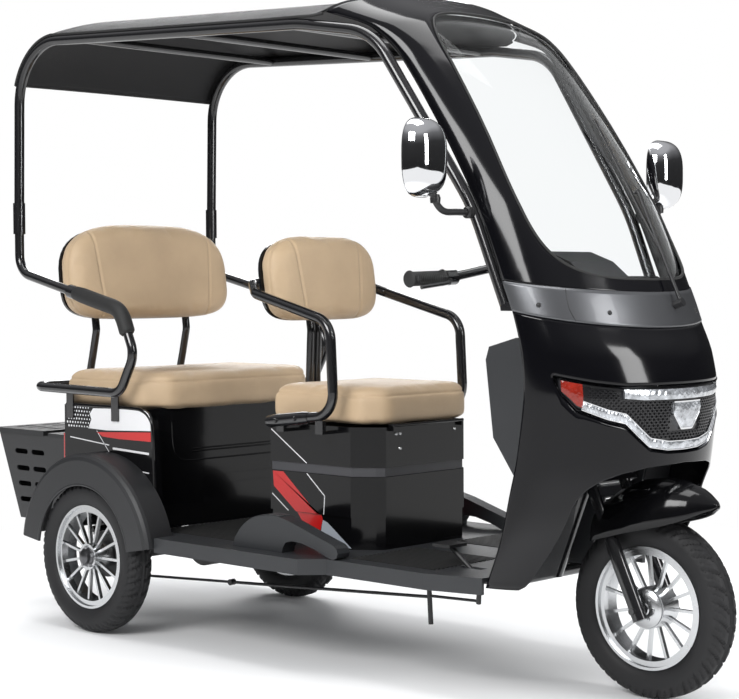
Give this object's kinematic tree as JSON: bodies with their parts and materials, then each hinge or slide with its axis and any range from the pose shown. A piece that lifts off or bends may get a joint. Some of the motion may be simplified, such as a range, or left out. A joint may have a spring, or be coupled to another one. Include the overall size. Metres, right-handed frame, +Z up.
{
  "type": "electric passenger tricycle",
  "caption": "Electric passenger tricycle with a curved windshield, roof on tube posts, driver's seat, rear bench, slotted luggage box and hub-driven rear axle.",
  "frame": {"origin": "on the ground below the middle of the vehicle's length and width", "axes": "+X forward, +Y to the vehicle's left, +Z up"},
  "size_m": [2.3394, 1.043, 1.7119],
  "materials": {
    "gloss_black": "deep gloss black moulded bodywork",
    "satin_grey": "satin dark grey moulded plastic",
    "band_grey": "satin metallic grey",
    "black_steel": "gloss black powder coat",
    "sheet_black": "gloss black sheet steel",
    "tan_leather": "tan leatherette with stitched seams",
    "tyre_rubber": "black rubber",
    "alloy": "polished cast alloy",
    "roof_grey": "textured dark roof skin",
    "clear_glass": "clear curved windshield",
    "lens": "clear lamp lens",
    "amber": "orange-red lens",
    "red_lens": "red lens",
    "chrome": "chromed shell",
    "battery_grey": "plain battery block",
    "axle_black": "satin black",
    "steel": "bare steel"
  },
  "bodies": {
    "chassis": {"frame": "black_steel", "rear_axle": "axle_black", "battery": "battery_grey", "floor_tray": "satin_grey", "step_guards": "satin_grey", "rear_seat_base": "sheet_black", "rear_fenders": "satin_grey", "luggage_box": "satin_grey", "rear_seat_cushion": "tan_leather", "rear_backrest": "tan_leather", "rear_backrest_frame": "black_steel", "rear_arms": "black_steel", "roof_rail_left": "black_steel", "roof_rail_right": "black_steel", "roof_cross_tubes": "black_steel", "roof_skin": "roof_grey", "windshield_surround": "gloss_black", "windshield_glass": "clear_glass", "windshield_band": "band_grey", "wiper": "axle_black", "cowl": "gloss_black", "leg_shield": "satin_grey", "glove_box": "satin_grey", "dash": "satin_grey", "headlamp_housing": "gloss_black", "lamp_lenses": "lens", "indicators": "amber", "tail_lamps": "red_lens", "mirrors": "chrome", "driver_seat_base": "sheet_black", "driver_backrest": "tan_leather", "driver_backrest_frame": "black_steel", "driver_arms": "black_steel", "brake_pedal": "steel"},
    "steering": {"fork": "black_steel", "front_fender": "gloss_black", "handlebar": "black_steel"},
    "front_wheel": {"front_tyre": "tyre_rubber", "front_rim": "alloy"},
    "rear_wheel_left": {"rear_tyre_left": "tyre_rubber", "rear_rim_left": "alloy"},
    "rear_wheel_right": {"rear_tyre_right": "tyre_rubber", "rear_rim_right": "alloy"},
    "driver_seat": {"driver_seat_cushion": "tan_leather"},
    "luggage_lid": {"luggage_cover": "satin_grey"}
  },
  "joints": [
    {"name": "steering_turn", "type": "hinge", "parent": "chassis", "child": "steering", "pos_m": [0.96225, 0, 0.2075], "axis": [-0.4226, 0, 0.9063], "range_deg": [-30, 30]},
    {"name": "front_wheel_spin", "type": "hinge", "parent": "steering", "child": "front_wheel", "pos_m": [0.96225, 0, 0.2075], "axis": [0, 1, 0], "continuous": true},
    {"name": "rear_wheel_left_spin", "type": "hinge", "parent": "chassis", "child": "rear_wheel_left", "pos_m": [-0.60775, 0.373, 0.2075], "axis": [0, 1, 0], "continuous": true},
    {"name": "rear_wheel_right_spin", "type": "hinge", "parent": "chassis", "child": "rear_wheel_right", "pos_m": [-0.60775, -0.373, 0.2075], "axis": [0, 1, 0], "continuous": true},
    {"name": "driver_seat_lift", "type": "hinge", "parent": "chassis", "child": "driver_seat", "pos_m": [0.27625, 0, 0.594], "axis": [0, 1, 0], "range_deg": [0, 75]},
    {"name": "luggage_cover_lift", "type": "hinge", "parent": "chassis", "child": "luggage_lid", "pos_m": [-0.92875, 0, 0.529], "axis": [0, 1, 0], "range_deg": [0, 90]}
  ]
}
